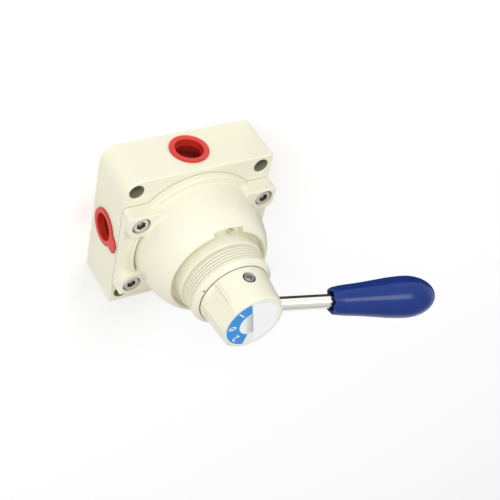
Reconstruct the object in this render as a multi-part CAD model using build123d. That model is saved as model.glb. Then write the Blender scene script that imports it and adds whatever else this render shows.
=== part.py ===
from build123d import *
import math
import os

# Hand lever rotary-disc air valve, four ports, three lever positions.
# Millimetres.  Origin: centre of the base's underside.  +Z: valve axis, from the base to the hub.
# +X: the lever at its middle position.  +Y: the face whose port lies beside the keyway.

# ---- fits -------------------------------------------------------------------------------------
RUN = 0.04          # radial running clearance of anything that turns or slides
SEAT = 0.02         # radial clearance of pieces that are pressed or dropped into place
LIFT = 0.05         # axial gap under faces that turn against one another

# ---- port base --------------------------------------------------------------------------------
BASE_W = 75.0
BASE_T = 27.0
BASE_HALF = BASE_W / 2
BIG_CORNER_R = 8.0
SMALL_CORNER_R = 1.2
EDGE_C = 0.5
MOUNT_INSET = 5.75          # from the block's sides to the mounting holes
MOUNT_PITCH = BASE_W - 2 * MOUNT_INSET
MOUNT_R = 3.5
MOUNT_LIP_C = 0.4

PORT_Z = 13.0
PORT_THREAD_R = 7.475       # minor radius of a G 3/8 thread
PORT_THREAD_L = 10.0
PORT_MOUTH_R = PORT_THREAD_R + 1.125
PORT_MOUTH_DEPTH = 9.0
PASSAGE_R = 6.8             # tapping drill run on behind the thread
RISER_R = 3.0
RISER_PCR = 12.5            # radius of the circle that the four risers stand on

# ---- seat plate and rotor ---------------------------------------------------------------------
SEAT_R = 22.0
SEAT_T = 5.0
SEAL_GROOVE_R = 5.1
SEAL_GROOVE_T = 1.6
SEAT_PIN_R = 1.5
SEAT_PIN_PCR = SEAT_R - 4.5
SEAT_PIN_BELOW = 5.0
SEAT_PIN_ABOVE = 3.5

ROTOR_R = SEAT_R - 2.5
ROTOR_T = 8.0
KIDNEY_DEPTH = 4.0
KIDNEY_SPAN = 90.0
TONGUE_W = 6.0
TONGUE_L = 16.0
TONGUE_H = 4.0

# ---- bonnet -----------------------------------------------------------------------------------
SCREW_X = BASE_HALF - 5.9
SCREW_Y = 18.6
EAR_HALF_Y = SCREW_Y + 5.25
EAR_INNER_Y = SCREW_Y - 6.8
EAR_TOP = BASE_T + 8.3
EAR_R = 4.5
EAR_EDGE_R = 0.6
EAR_FILLET_R = 1.0           # where an ear runs into the dome
EAR_ROOT_X = 14.0
PLATE_TOP = BASE_T + 4.2
FLANGE_R = BASE_HALF - 2.6
FLANGE_TOP = BASE_T + 3.7
DOME_R = 31.3
DOME_SIDE = ((0.5, 11.0), (1.6, 18.5), (2.9, 22.8), (4.6, 26.3))     # drawn in from DOME_R, above the base
DOME_FOOT_R = 1.6
RIB_R_IN = DOME_R + 0.7
RIB_R_OUT = RIB_R_IN + 1.4
RIB_EDGE_R = 0.6
RIB_FOOT_R = 1.2
RIB_TOP = BASE_T + 7.0
RIM_R = 24.3
RIM_Z = BASE_T + 28.8
GROOVE_Z = BASE_T + 25.6
COLLAR_R = 21.0
COLLAR_TOP = BASE_T + 32.4
NECK_R = 20.0
NECK_ROOT_R = NECK_R - 0.92    # minor radius of the panel-nut thread
THREAD_TOP = BASE_T + 41.0
NECK_END_R = 17.8
NECK_TOP = BASE_T + 43.5
KEYWAY_W = 15.0
KEYWAY_R = RIM_R + 1.6
KEYWAY_AZ = 88.0
KEYWAY_FLOOR = GROOVE_Z - 0.6
KEY_PIN_R = 1.1
KEY_PIN_PCR = RIM_R - 0.9
KEY_PIN_AZ = 83.0
CHAMBER_R = SEAT_R + 1.0

SCREW_SHANK_R = 2.5
SCREW_HOLE_R = 2.75
SCREW_HEAD_R = 4.2
SCREW_HEAD_H = 5.0
SCREW_POCKET_R = SCREW_HEAD_R + 0.35
SCREW_SEAT_Z = BASE_T + 2.8
SCREW_TIP_Z = BASE_T - 14.0
HEX_AF = 4.0
BONNET_SEAL_R = SEAT_R + 5.0
BONNET_SEAL_W = 0.8

# ---- stem -------------------------------------------------------------------------------------
STEM_R = 8.0
STEM_COLLAR_R = STEM_R + 5.0
STEM_COLLAR_T = 3.6
STEM_NOSE_R = STEM_R - 2.0
STEM_SEAL_PITCH = 3.6
STEM_SEAL_W = 0.98
BUSH_R = STEM_R + 2.0
BUSH_L = 8.0
WASHER_T = 1.0
SPRING_T = 0.6
SPRING_H = 1.3
CHAMBER_TOP = BASE_T + 2 * LIFT + ROTOR_T + SPRING_H + STEM_COLLAR_T + WASHER_T
BUSH_TOP = CHAMBER_TOP + BUSH_L

# ---- detent -----------------------------------------------------------------------------------
RACE_T = 3.0
RACE_SEAT_Z = NECK_TOP - 12.5
RACE_SEAT_R = 15.0
RACE_IN_R = STEM_R + 0.7
BALL_R = 2.0
BALL_DROP = 0.4
SPRING_WELL = 7.2           # room above each ball for its spring
DETENT_PCR = RACE_SEAT_R - BALL_R - 1.0
DETENT_ANGLES = (-45.0, 0.0, 45.0)
STOP_PIN_R = 1.5
STOP_PIN_TOP = NECK_TOP - 4.5
STOP_PIN_BOTTOM = RACE_SEAT_Z - 4.0
STOP_TRAVEL = 45.8

# ---- hub and lever ----------------------------------------------------------------------------
HUB_SPIGOT_R = RACE_SEAT_R - 0.4
HUB_BOTTOM_Z = RACE_SEAT_Z + RACE_T + 0.9
HUB_SKIRT_Z = NECK_TOP - 0.5
HUB_SKIRT_R = 17.2
HUB_SKIRT_GAP = 0.15
HUB_END_R = 15.5
HUB_TOP_Z = HUB_SKIRT_Z + 18.6
HUB_END_C = 0.9
FACET_SPAN = 43.0
FACET_STEP = 0.25
FACET_MARGIN = 5.2          # degrees of shallow margin outside the facets
LABEL_R = HUB_END_R - 1.4
LABEL_T = 0.4
HUB_SCREW_HEAD_R = 4.25
HUB_SCREW_HEAD_H = 5.0
HUB_WEB_TOP_Z = HUB_TOP_Z - 6.1
STEM_SHOULDER_Z = HUB_BOTTOM_Z - 0.3
STEM_TOP_Z = HUB_WEB_TOP_Z - 3.0
SET_SCREW_R = 3.0
SET_SCREW_Z = HUB_SKIRT_Z + 6.3
SET_SCREW_AZ = 86.0
SET_SCREW_L = 9.6
LEVER_Z = HUB_SKIRT_Z + 8.0
LEVER_TILT = 15.0
ROD_R = 3.25
ROD_START = STEM_NOSE_R + 2.2
GRIP_START = 42.0
GRIP_L = 52.5
GRIP_R = 9.85
GRIP_MOUTH_R = ROD_R + 1.9
GRIP_NOSE_L = 15.5
ROD_IN_GRIP = 34.0

# ---- port plugs -------------------------------------------------------------------------------
PLUG_FLANGE_R = PORT_MOUTH_R + 0.75
PLUG_FLANGE_T = 0.9
PLUG_SKIRT_R = PORT_MOUTH_R - 0.1
PLUG_WALL = 1.8
PLUG_STEP_W = 0.7           # ledge inside the plug's mouth
PLUG_STEP_DEPTH = 3.0
PLUG_DEPTH = 8.4
PLUG_FLOOR = 1.2
TAB_L = 14.2
TAB_W = 5.0
TAB_TILT = 8.0


def tube(r_out, r_in, z0, z1):
    """Upright hollow cylinder between two heights."""
    ring = Cylinder(r_out, z1 - z0) - Cylinder(r_in, z1 - z0 + 2)
    return Pos(0, 0, (z0 + z1) / 2) * ring


def rod_z(r, z0, z1, x=0.0, y=0.0):
    """Upright solid cylinder between two heights."""
    return Pos(x, y, (z0 + z1) / 2) * Cylinder(r, z1 - z0)


def rod_x(r, x0, x1, z=0.0):
    """Cylinder along X between two abscissae."""
    return Pos((x0 + x1) / 2, 0, z) * Rot(0, 90, 0) * Cylinder(r, x1 - x0)


def turned(points):
    """Solid of revolution about Z from (radius, height) points joined by straight lines."""
    outline = Polyline(*[(r, 0, z) for r, z in points], close=True)
    return revolve(make_face(outline), Axis.Z)


def ring_seal(r_mid, r_cord, z, x=0.0, y=0.0):
    """O-ring lying flat, its cord drawn with eight sides."""
    reach = r_cord / math.cos(math.radians(22.5))
    cord = []
    for i in range(8):
        a = math.radians(22.5 + 45 * i)
        cord.append((r_mid + reach * math.cos(a), reach * math.sin(a)))
    return Pos(x, y, z) * turned(cord)


def around(shape, angles):
    """The same shape repeated about the valve axis."""
    return [Rot(0, 0, a) * shape for a in angles]


def kidney(r_mid, half_w, span, z0, z1, azimuth):
    """Curved slot with round ends, centred on an azimuth."""
    band = tube(r_mid + half_w, r_mid - half_w, z0, z1)
    wedge = [(0, 0)]
    steps = 12
    for i in range(steps + 1):
        a = math.radians(azimuth - span / 2 + span * i / steps)
        wedge.append((4 * r_mid * math.cos(a), 4 * r_mid * math.sin(a)))
    sector = extrude(make_face(Polyline(*wedge, close=True)), z1 - z0)
    slot = band & (Pos(0, 0, z0) * sector)
    for a in (azimuth - span / 2, azimuth + span / 2):
        end = rod_z(half_w, z0, z1, r_mid, 0)
        slot += Rot(0, 0, a) * end
    return slot


def corner_edge(shape, sx, sy):
    """The upright edge of a block at the signed corner."""
    return [e for e in shape.edges().filter_by(Axis.Z) if e.center().X * sx > 0 and e.center().Y * sy > 0]


# ---- fixed pieces -----------------------------------------------------------------------------

def port_cut():
    """One side port: mouth, thread, passage and riser, towards +X."""
    mouth_in = BASE_HALF - PORT_MOUTH_DEPTH
    thread_in = mouth_in - PORT_THREAD_L
    cut = rod_x(PORT_MOUTH_R, mouth_in, BASE_HALF + 1, PORT_Z)
    cut += rod_x(PORT_THREAD_R, thread_in, mouth_in + 0.1, PORT_Z)
    cut += rod_x(PASSAGE_R, RISER_PCR - PASSAGE_R, thread_in + 0.1, PORT_Z)
    cut += rod_z(RISER_R, PORT_Z, BASE_T - SEAT_T + 0.1, RISER_PCR, 0)
    lip = Cone(PORT_MOUTH_R, PORT_MOUTH_R + 0.5, 0.5)
    cut += Pos(BASE_HALF - 0.25, 0, PORT_Z) * Rot(0, 90, 0) * lip
    return cut


def seal_groove_top():
    """Groove for the bonnet seal in the base's upper face."""
    r_out = BONNET_SEAL_R + BONNET_SEAL_W + 0.5
    r_in = BONNET_SEAL_R - BONNET_SEAL_W - 0.5
    return tube(r_out, r_in, BASE_T - 2 * BONNET_SEAL_W, BASE_T + 1)


def port_base():
    """Square block with four side ports and a recess for the seat plate."""
    block = Pos(0, 0, BASE_T / 2) * Box(BASE_W, BASE_W, BASE_T)
    block = fillet(corner_edge(block, -1, 1), BIG_CORNER_R)
    for sx, sy in ((1, 1), (1, -1), (-1, -1)):
        block = fillet(corner_edge(block, sx, sy), SMALL_CORNER_R)
    rims = block.edges().group_by(Axis.Z)
    block = chamfer(rims[0] + rims[-1], EDGE_C)
    for cut in around(port_cut(), (0, 90, 180, 270)):
        block -= cut
    block -= rod_z(SEAT_R, BASE_T - SEAT_T, BASE_T + 1)
    block -= seal_groove_top()
    h = MOUNT_PITCH / 2
    for x, y in ((h, h), (h, -h), (-h, h), (-h, -h)):
        block -= rod_z(MOUNT_R, -1, BASE_T + 1, x, y)
        block -= Pos(x, y, BASE_T - MOUNT_LIP_C / 2) * Cone(MOUNT_R, MOUNT_R + MOUNT_LIP_C, MOUNT_LIP_C)
    for x, y in screw_places():
        block -= rod_z(SCREW_SHANK_R + SEAT, SCREW_TIP_Z - 2, BASE_T + 1, x, y)
    block -= seat_pin(SEAT)
    return block


def seat_pin(grow=0.0):
    """Pin that stops the seat plate from turning."""
    z0 = BASE_T - SEAT_T - SEAT_PIN_BELOW
    z1 = BASE_T - SEAT_T + SEAT_PIN_ABOVE
    return Rot(0, 0, 45) * rod_z(SEAT_PIN_R + grow, z0 - grow, z1 + grow, SEAT_PIN_PCR, 0)


def port_plate():
    """Seat plate: four holes over the risers, a seal groove round each underneath."""
    z0 = BASE_T - SEAT_T
    plate = rod_z(SEAT_R - SEAT, z0, BASE_T)
    hole = rod_z(RISER_R, z0 - 1, BASE_T + 1, RISER_PCR, 0)
    hole += rod_z(SEAL_GROOVE_R, z0 - 1, z0 + SEAL_GROOVE_T, RISER_PCR, 0)
    for cut in around(hole, (0, 90, 180, 270)):
        plate -= cut
    return plate - seat_pin(SEAT)


def port_plate_seals():
    """Four O-rings under the seat plate."""
    cord = SEAL_GROOVE_T / 2
    seal = ring_seal(SEAL_GROOVE_R - cord - 0.05, cord, BASE_T - SEAT_T + cord, RISER_PCR, 0)
    return Compound(children=around(seal, (0, 90, 180, 270)))


def bonnet_seal():
    """O-ring between the base and the bonnet."""
    return ring_seal(BONNET_SEAL_R, BONNET_SEAL_W, BASE_T - BONNET_SEAL_W)


def screw_places():
    return [(sx * SCREW_X, sy * SCREW_Y) for sx in (1, -1) for sy in (1, -1)]


def dome():
    """Turned outside of the bonnet: round flange, dome, groove, collar and neck."""
    foot = (DOME_R, 0, FLANGE_TOP + DOME_FOOT_R)
    shoulder = (RIM_R + 0.5, 0, RIM_Z - 0.35)
    side = [(DOME_R - inset, 0, BASE_T + height) for inset, height in DOME_SIDE]
    wall = Spline(foot, *side, shoulder)
    hollow = TangentArc(foot, (DOME_R + DOME_FOOT_R, 0, FLANGE_TOP), tangent=(0, 0, -1))
    corners = [(RIM_R, RIM_Z), (RIM_R - 0.5, RIM_Z - 0.3), (RIM_R - 0.9, GROOVE_Z), (COLLAR_R, GROOVE_Z),
               (COLLAR_R, COLLAR_TOP - 0.4), (COLLAR_R - 0.4, COLLAR_TOP), (NECK_ROOT_R, COLLAR_TOP),
               (NECK_ROOT_R, THREAD_TOP), (NECK_R, THREAD_TOP), (NECK_R, THREAD_TOP + 0.3), (NECK_END_R, NECK_TOP),
               (0, NECK_TOP), (0, BASE_T), (FLANGE_R, BASE_T), (FLANGE_R, FLANGE_TOP - 0.6),
               (FLANGE_R - 0.6, FLANGE_TOP)]
    top = Polyline(shoulder, *[(r, 0, z) for r, z in corners], hollow @ 1)
    return revolve(make_face(wall + top + hollow), Axis.Z)


def ear():
    """Screw boss that runs from a corner of the plate back into the dome, in the first quadrant."""
    height = EAR_TOP - BASE_T
    length = BASE_HALF - EAR_ROOT_X
    block = Box(length, EAR_HALF_Y - EAR_INNER_Y, height)
    block = Pos(BASE_HALF - length / 2, (EAR_HALF_Y + EAR_INNER_Y) / 2, BASE_T + height / 2) * block
    outer = block.edges().filter_by(Axis.Z).group_by(Axis.X)[-1].sort_by(Axis.Y)
    block = fillet(outer[0], EAR_R)
    outer = block.edges().filter_by(Axis.Z).group_by(Axis.X)[-1].sort_by(Axis.Y)
    block = fillet(outer[-1], SMALL_CORNER_R)
    return fillet(block.faces().sort_by(Axis.Z)[-1].edges(), EAR_EDGE_R)


def rib():
    """Raised rib between the two ears of one side, with a valley between it and the dome."""
    outline = [(DOME_R - 1, PLATE_TOP - 1), (DOME_R - 1, PLATE_TOP + 0.5), (RIB_R_IN, PLATE_TOP + 0.5),
               (RIB_R_IN, RIB_TOP), (RIB_R_OUT, RIB_TOP), (RIB_R_OUT, PLATE_TOP),
               (RIB_R_OUT + RIB_FOOT_R + 0.2, PLATE_TOP), (RIB_R_OUT + RIB_FOOT_R + 0.2, PLATE_TOP - 1)]
    profile = make_face(Polyline(*[(r, 0, z) for r, z in outline], close=True))
    profile = fillet(profile.vertices().group_by(Axis.Z)[-1], RIB_EDGE_R)
    foot = [v for v in profile.vertices() if abs(v.X - RIB_R_OUT) < 0.01 and abs(v.Z - PLATE_TOP) < 0.01]
    band = revolve(fillet(foot, RIB_FOOT_R), Axis.Z)
    window = Pos(DOME_R, 0, PLATE_TOP) * Box(24, 2 * EAR_INNER_Y + 3, 30)
    return band & window


def both_sides(shape, plane):
    """A shape together with its mirror image."""
    return shape + mirror(shape, plane)


def off_axis(edge):
    """Distance of an edge's middle from the valve axis."""
    middle = edge.center()
    return math.hypot(middle.X, middle.Y)


def bonnet_outside():
    """Dome, plate, four ears blended into the dome, and two ribs."""
    body = dome() + both_sides(both_sides(ear(), Plane.YZ), Plane.XZ)
    roots = [e for e in body.edges() if e.geom_type == GeomType.BSPLINE and abs(off_axis(e) - DOME_R) < 0.6
             and e.center().Z > FLANGE_TOP + DOME_FOOT_R]
    body = fillet(roots, EAR_FILLET_R)
    plate_h = PLATE_TOP - BASE_T
    plate = Pos(0, 0, BASE_T + plate_h / 2) * Box(BASE_W, 2 * EAR_HALF_Y, plate_h)
    body += fillet(plate.edges().filter_by(Axis.Z), SMALL_CORNER_R)
    return body + both_sides(rib(), Plane.YZ)


def bonnet():
    """Domed cover with four screw ears, a threaded neck and a keyed shoulder."""
    body = bonnet_outside()
    for x, y in screw_places():
        body -= rod_z(SCREW_POCKET_R, SCREW_SEAT_Z, EAR_TOP + 1, x, y)
        body -= rod_z(SCREW_HOLE_R, BASE_T - 1, SCREW_SEAT_Z + 1, x, y)
    body -= rod_z(CHAMBER_R, BASE_T - 1, CHAMBER_TOP)
    body -= rod_z(BUSH_R + SEAT, CHAMBER_TOP - 1, BUSH_TOP)
    body -= rod_z(STEM_R + RUN, BUSH_TOP - 1, RACE_SEAT_Z + 1)
    body -= rod_z(RACE_SEAT_R, RACE_SEAT_Z, NECK_TOP + 1)
    body -= rod_z(HUB_SKIRT_R + HUB_SKIRT_GAP, HUB_SKIRT_Z - 0.6, NECK_TOP + 1)
    key = Pos(KEYWAY_R, 0, KEYWAY_FLOOR + 5) * Box(2 * KEYWAY_R, KEYWAY_W, 10)
    body -= Rot(0, 0, KEYWAY_AZ) * (key & tube(KEYWAY_R, COLLAR_R, KEYWAY_FLOOR, KEYWAY_FLOOR + 10))
    body -= key_pin(SEAT)
    return body - stop_pin(SEAT)


def key_pin(grow=0.0):
    """Small locating pin standing in the keyway."""
    pin = rod_z(KEY_PIN_R + grow, KEYWAY_FLOOR - 4 - grow, RIM_Z - 0.6, KEY_PIN_PCR, 0)
    return Rot(0, 0, KEY_PIN_AZ) * pin


def bonnet_screws():
    """Four socket head cap screws."""
    head = rod_z(SCREW_HEAD_R, SCREW_SEAT_Z, SCREW_SEAT_Z + SCREW_HEAD_H)
    head = chamfer(head.edges().sort_by(Axis.Z)[-1:], 0.5)
    hexagon = extrude(RegularPolygon(HEX_AF / math.sqrt(3), 6), 2.8)
    screw = head + rod_z(SCREW_SHANK_R, SCREW_TIP_Z, SCREW_SEAT_Z + 0.5)
    screw -= Pos(0, 0, SCREW_SEAT_Z + SCREW_HEAD_H - 2.7) * hexagon
    return Compound(children=[Pos(x, y, 0) * screw for x, y in screw_places()])


def stem_bush():
    """Plain bearing pressed into the bonnet."""
    return tube(BUSH_R, STEM_R + RUN, CHAMBER_TOP, BUSH_TOP - SEAT)


def notch(angle, azimuth):
    """Ball notch in the detent race."""
    z = race_top() + BALL_R - BALL_DROP
    return Rot(0, 0, azimuth + angle) * Pos(DETENT_PCR, 0, z) * Sphere(BALL_R + RUN)


def race_top():
    return RACE_SEAT_Z + RACE_T


def detent_race():
    """Hardened ring with three notches for each of the two balls."""
    race = tube(RACE_SEAT_R - SEAT, RACE_IN_R, RACE_SEAT_Z, race_top())
    for azimuth in (90, 270):
        for angle in DETENT_ANGLES:
            race -= notch(angle, azimuth)
    return race - stop_pin(SEAT)


def stop_pin(grow=0.0):
    """Pin that keys the race and ends the lever's travel."""
    return rod_z(STOP_PIN_R + grow, STOP_PIN_BOTTOM - grow, STOP_PIN_TOP, -DETENT_PCR, 0)


# ---- pieces that turn with the lever ------------------------------------------------------------

def rotor_z0():
    return BASE_T + LIFT


def rotor_top():
    return rotor_z0() + ROTOR_T


def rotor_disc():
    """Disc whose two underside pockets join neighbouring ports."""
    z0 = rotor_z0()
    disc = rod_z(ROTOR_R, z0, rotor_top())
    disc = chamfer(disc.edges().sort_by(Axis.Z)[-1:], 0.8)
    for azimuth in (0, 180):
        disc -= kidney(RISER_PCR, RISER_R, KIDNEY_SPAN, z0 - 1, z0 + KIDNEY_DEPTH, azimuth)
    slot = Pos(0, 0, rotor_top() - TONGUE_H / 2 + 0.1) * Box(TONGUE_L + 0.2, TONGUE_W + 0.1, TONGUE_H + 0.2)
    return disc - slot


def collar_z0():
    return CHAMBER_TOP - LIFT - WASHER_T - STEM_COLLAR_T


def disc_spring():
    """Belleville spring that loads the rotor against its seat."""
    z0, z1 = rotor_top(), collar_z0()
    r_in, r_out = TONGUE_L / 2 + 0.7, STEM_COLLAR_R - 0.5
    return turned([(r_out, z0), (r_out, z0 + SPRING_T), (r_in, z1), (r_in, z1 - SPRING_T)])


def stem_seal_heights():
    """Middles of the two seal grooves, above the bush."""
    low = BUSH_TOP + 2.8
    return (low, low + STEM_SEAL_PITCH)


def stem():
    """Drive stem: tongue, collar, sealed journal and clamped nose."""
    shaft = rod_z(STEM_R, collar_z0(), STEM_SHOULDER_Z) + rod_z(STEM_NOSE_R, STEM_SHOULDER_Z - 1, STEM_TOP_Z)
    shaft += rod_z(STEM_COLLAR_R, collar_z0(), collar_z0() + STEM_COLLAR_T)
    z_low = rotor_top() - TONGUE_H + 0.1
    tongue = Pos(0, 0, (z_low + collar_z0() + 0.1) / 2) * Box(TONGUE_L, TONGUE_W, collar_z0() + 0.1 - z_low)
    shaft += tongue
    for z in stem_seal_heights():
        shaft -= tube(STEM_R + 1, STEM_R + 0.03 - 2 * STEM_SEAL_W, z - 1.25, z + 1.25)
    flat = Pos(STEM_NOSE_R + 0.2, 0, SET_SCREW_Z) * Box(1.6, 10, 8)
    shaft -= Rot(0, 0, SET_SCREW_AZ) * flat
    return shaft - rod_z(SCREW_SHANK_R + SEAT, STEM_TOP_Z - 14, STEM_TOP_Z + 1)


def stem_seals():
    """Two O-rings on the stem."""
    rings = [ring_seal(STEM_R + 0.03 - STEM_SEAL_W, STEM_SEAL_W, z) for z in stem_seal_heights()]
    return Compound(children=rings)


def thrust_washer():
    """Washer between the stem's collar and the bonnet."""
    z0 = collar_z0() + STEM_COLLAR_T
    return tube(STEM_COLLAR_R, STEM_R + 0.1, z0, z0 + WASHER_T)


def lever_frame(shape):
    """Places a shape drawn along X, from the valve axis, on the tilted lever line."""
    return Pos(0, 0, LEVER_Z) * Rot(0, -LEVER_TILT, 0) * shape


def hub_radius(z):
    """Radius of the hub's tapered skirt at a height."""
    share = (z - HUB_SKIRT_Z) / (HUB_TOP_Z - HUB_SKIRT_Z)
    return HUB_SKIRT_R + (HUB_END_R - HUB_SKIRT_R) * share


def facet_outline(z, step, angles):
    """Sector outside the hub at a height, its inner corners a step below the skirt."""
    inner = [(hub_radius(z) - step, a) for a in angles]
    outer = [(2 * HUB_SKIRT_R, a) for a in reversed(angles)]
    corners = [(r * math.cos(math.radians(a)), r * math.sin(math.radians(a)), z) for r, a in inner + outer]
    return make_face(Polyline(*corners, close=True))


def hub_facets():
    """Cutters: two facets that meet opposite the lever, and a shallow margin that runs out upwards."""
    angles = [180 - FACET_SPAN, 180, 180 + FACET_SPAN]
    z0, z1 = HUB_SKIRT_Z - 1, HUB_TOP_Z + 1
    facets = loft([facet_outline(z, FACET_STEP, angles) for z in (z0, z1)], ruled=True)
    z0, z1 = HUB_SKIRT_Z + 2.5, HUB_TOP_Z - 5.5
    wide = [angles[0] - FACET_MARGIN, angles[0] + 1]
    margin = loft([facet_outline(z0, FACET_STEP, wide), facet_outline(z1, 0.0, wide)], ruled=True)
    return facets + both_sides(margin, Plane.XZ)


def hub():
    """Tapered hub that clamps the stem and holds the lever rod."""
    body = turned([(0, HUB_SKIRT_Z), (HUB_SKIRT_R, HUB_SKIRT_Z), (HUB_END_R, HUB_TOP_Z - HUB_END_C),
                   (HUB_END_R - HUB_END_C, HUB_TOP_Z), (0, HUB_TOP_Z)])
    body -= hub_facets()
    body += rod_z(HUB_SPIGOT_R, HUB_BOTTOM_Z, HUB_SKIRT_Z + 1)
    body -= rod_z(STEM_NOSE_R + SEAT, HUB_BOTTOM_Z - 1, STEM_TOP_Z + 0.1)
    body -= rod_z(SCREW_HOLE_R, STEM_TOP_Z, HUB_TOP_Z)
    body -= rod_z(HUB_SCREW_HEAD_R + 0.2, HUB_WEB_TOP_Z, HUB_TOP_Z)
    body -= rod_z(LABEL_R + 0.05, HUB_TOP_Z - LABEL_T, HUB_TOP_Z + 1)
    body -= kidney(DETENT_PCR, STOP_PIN_R + 0.2, 2 * STOP_TRAVEL, HUB_BOTTOM_Z - 1, STOP_PIN_TOP + 0.5, 180)
    for azimuth in (90, 270):
        pocket = rod_z(BALL_R + RUN, HUB_BOTTOM_Z - 1, ball_z() + BALL_R + SPRING_WELL, DETENT_PCR, 0)
        body -= Rot(0, 0, azimuth) * pocket
    body -= lever_frame(rod_x(ROD_R + SEAT, ROD_START - 0.3, 40))
    tapped = rod_x(SET_SCREW_R + SEAT, 0, 30, SET_SCREW_Z)
    return body - Rot(0, 0, SET_SCREW_AZ) * tapped


def ball_z():
    return race_top() + BALL_R + RUN


def detent_ball(azimuth):
    """Detent ball, standing at the height of the race's face."""
    return Rot(0, 0, azimuth) * Pos(DETENT_PCR, 0, ball_z()) * Sphere(BALL_R)


def detent_springs():
    """Coil spring behind each ball."""
    z0 = ball_z() + BALL_R + 0.02
    turns, wire, height = 4, 0.6, SPRING_WELL - 0.4
    r_mid = BALL_R - wire
    path = Helix(pitch=(height - wire) / turns, height=height - wire, radius=r_mid)
    section = Plane(origin=path @ 0, z_dir=path % 0) * Rectangle(wire, wire)
    coil = Pos(0, 0, z0 + wire / 2) * sweep(section, path=path)
    return Compound(children=[Rot(0, 0, a) * Pos(DETENT_PCR, 0, 0) * coil for a in (90, 270)])


def hub_screw():
    """Cap screw, under the label, that holds the hub on the stem."""
    head = rod_z(HUB_SCREW_HEAD_R, HUB_WEB_TOP_Z, HUB_WEB_TOP_Z + HUB_SCREW_HEAD_H)
    hexagon = extrude(RegularPolygon(HEX_AF / math.sqrt(3), 6), 3)
    screw = head + rod_z(SCREW_SHANK_R, STEM_TOP_Z - 12, HUB_WEB_TOP_Z + 0.5)
    return screw - Pos(0, 0, HUB_WEB_TOP_Z + HUB_SCREW_HEAD_H - 2.5) * hexagon


def set_screw():
    """Socket set screw that bears on the stem's flat."""
    y0 = STEM_NOSE_R - 0.55
    screw = rod_x(SET_SCREW_R, y0, y0 + SET_SCREW_L, SET_SCREW_Z)
    hexagon = extrude(RegularPolygon(3.0 / math.sqrt(3), 6), 3.1)
    screw -= Pos(y0 + SET_SCREW_L - 3, 0, SET_SCREW_Z) * Rot(0, 90, 0) * hexagon
    return Rot(0, 0, SET_SCREW_AZ) * screw


def lever_rod():
    """Bright rod between the hub and the grip."""
    shank = rod_x(ROD_R, ROD_START, GRIP_START + ROD_IN_GRIP)
    shank = chamfer(shank.edges().filter_by(GeomType.CIRCLE), 0.4)
    return lever_frame(shank)


def lever_grip():
    """Pear-shaped grip moulded round the end of the rod."""
    s = GRIP_START
    side = [(s, GRIP_MOUTH_R), (s + 0.8, GRIP_MOUTH_R + 0.9), (s + 5, GRIP_R - 2.95), (s + 14, GRIP_R - 2.15),
            (s + 22, GRIP_R - 1.25), (s + 30, GRIP_R - 0.35)]
    belly = s + GRIP_L - GRIP_NOSE_L
    for angle in (0, 15, 30, 45, 60, 72, 82, 90):
        a = math.radians(angle)
        side.append((belly + GRIP_NOSE_L * math.sin(a), GRIP_R * math.cos(a)))
    back = Spline(*[(x, 0, r) for x, r in side])
    front = Polyline((s + GRIP_L, 0, 0), (s, 0, 0), (s, 0, GRIP_MOUTH_R))
    body = revolve(make_face(back + front), Axis.X)
    body -= rod_x(ROD_R + SEAT, s - 1, s + ROD_IN_GRIP + SEAT)
    return lever_frame(body)


def dial_label():
    """Round dial face set into the end of the hub."""
    return rod_z(LABEL_R, HUB_TOP_Z - LABEL_T, HUB_TOP_Z)


# ---- port plugs ---------------------------------------------------------------------------------

def pull_tab():
    """Rounded tongue on a plug's flange, pointing to the bonnet."""
    reach = PLUG_FLANGE_R - 3
    thick = PLUG_FLANGE_T - SEAT
    arm = Pos(BASE_HALF + SEAT + thick / 2, 0, (reach + TAB_L) / 2) * Box(thick, TAB_W, TAB_L - reach)
    arm = fillet(arm.edges().filter_by(Axis.X).group_by(Axis.Z)[-1], TAB_W / 2 - 0.1)
    return Pos(0, 0, PORT_Z) * Rot(TAB_TILT, 0, 0) * arm


def port_plug(azimuth, tab):
    """Soft cap for a port: flange, hollow skirt with a ledge inside, and a pull tab on some."""
    x_in = BASE_HALF - PLUG_DEPTH
    x_out = BASE_HALF + PLUG_FLANGE_T
    plug = rod_x(PLUG_SKIRT_R, x_in, BASE_HALF + 0.5, PORT_Z)
    plug += rod_x(PLUG_FLANGE_R, BASE_HALF + SEAT, x_out, PORT_Z)
    if tab:
        plug += pull_tab()
    plug = chamfer(plug.faces().sort_by(Axis.X)[-1].edges(), 0.3)
    bore_r = PLUG_SKIRT_R - PLUG_WALL
    plug -= rod_x(bore_r, x_out - PLUG_STEP_DEPTH, x_out + 1, PORT_Z)
    plug -= rod_x(bore_r - PLUG_STEP_W, x_in + PLUG_FLOOR, x_out, PORT_Z)
    return Rot(0, 0, azimuth) * plug


PIECES = {
    "port_base": port_base,
    "port_plate": port_plate,
    "port_plate_seals": port_plate_seals,
    "seat_pin": seat_pin,
    "bonnet": bonnet,
    "bonnet_seal": bonnet_seal,
    "bonnet_screws": bonnet_screws,
    "stem_bush": stem_bush,
    "detent_race": detent_race,
    "stop_pin": stop_pin,
    "key_pin": key_pin,
    "rotor_disc": rotor_disc,
    "disc_spring": disc_spring,
    "stem": stem,
    "stem_seals": stem_seals,
    "thrust_washer": thrust_washer,
    "hub": hub,
    "hub_screw": hub_screw,
    "set_screw": set_screw,
    "detent_springs": detent_springs,
    "detent_ball_a": lambda: detent_ball(90),
    "detent_ball_b": lambda: detent_ball(270),
    "lever_rod": lever_rod,
    "lever_grip": lever_grip,
    "dial_label": dial_label,
    "port_plug_px": lambda: port_plug(0, True),
    "port_plug_py": lambda: port_plug(90, False),
    "port_plug_nx": lambda: port_plug(180, True),
    "port_plug_ny": lambda: port_plug(270, False),
}

os.makedirs("parts", exist_ok=True)
for node, make in PIECES.items():
    export_step(make(), f"parts/{node}.step")
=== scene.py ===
"""Hand lever air valve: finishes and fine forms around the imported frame.  Metres, +Z along the valve axis."""
import math

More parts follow.
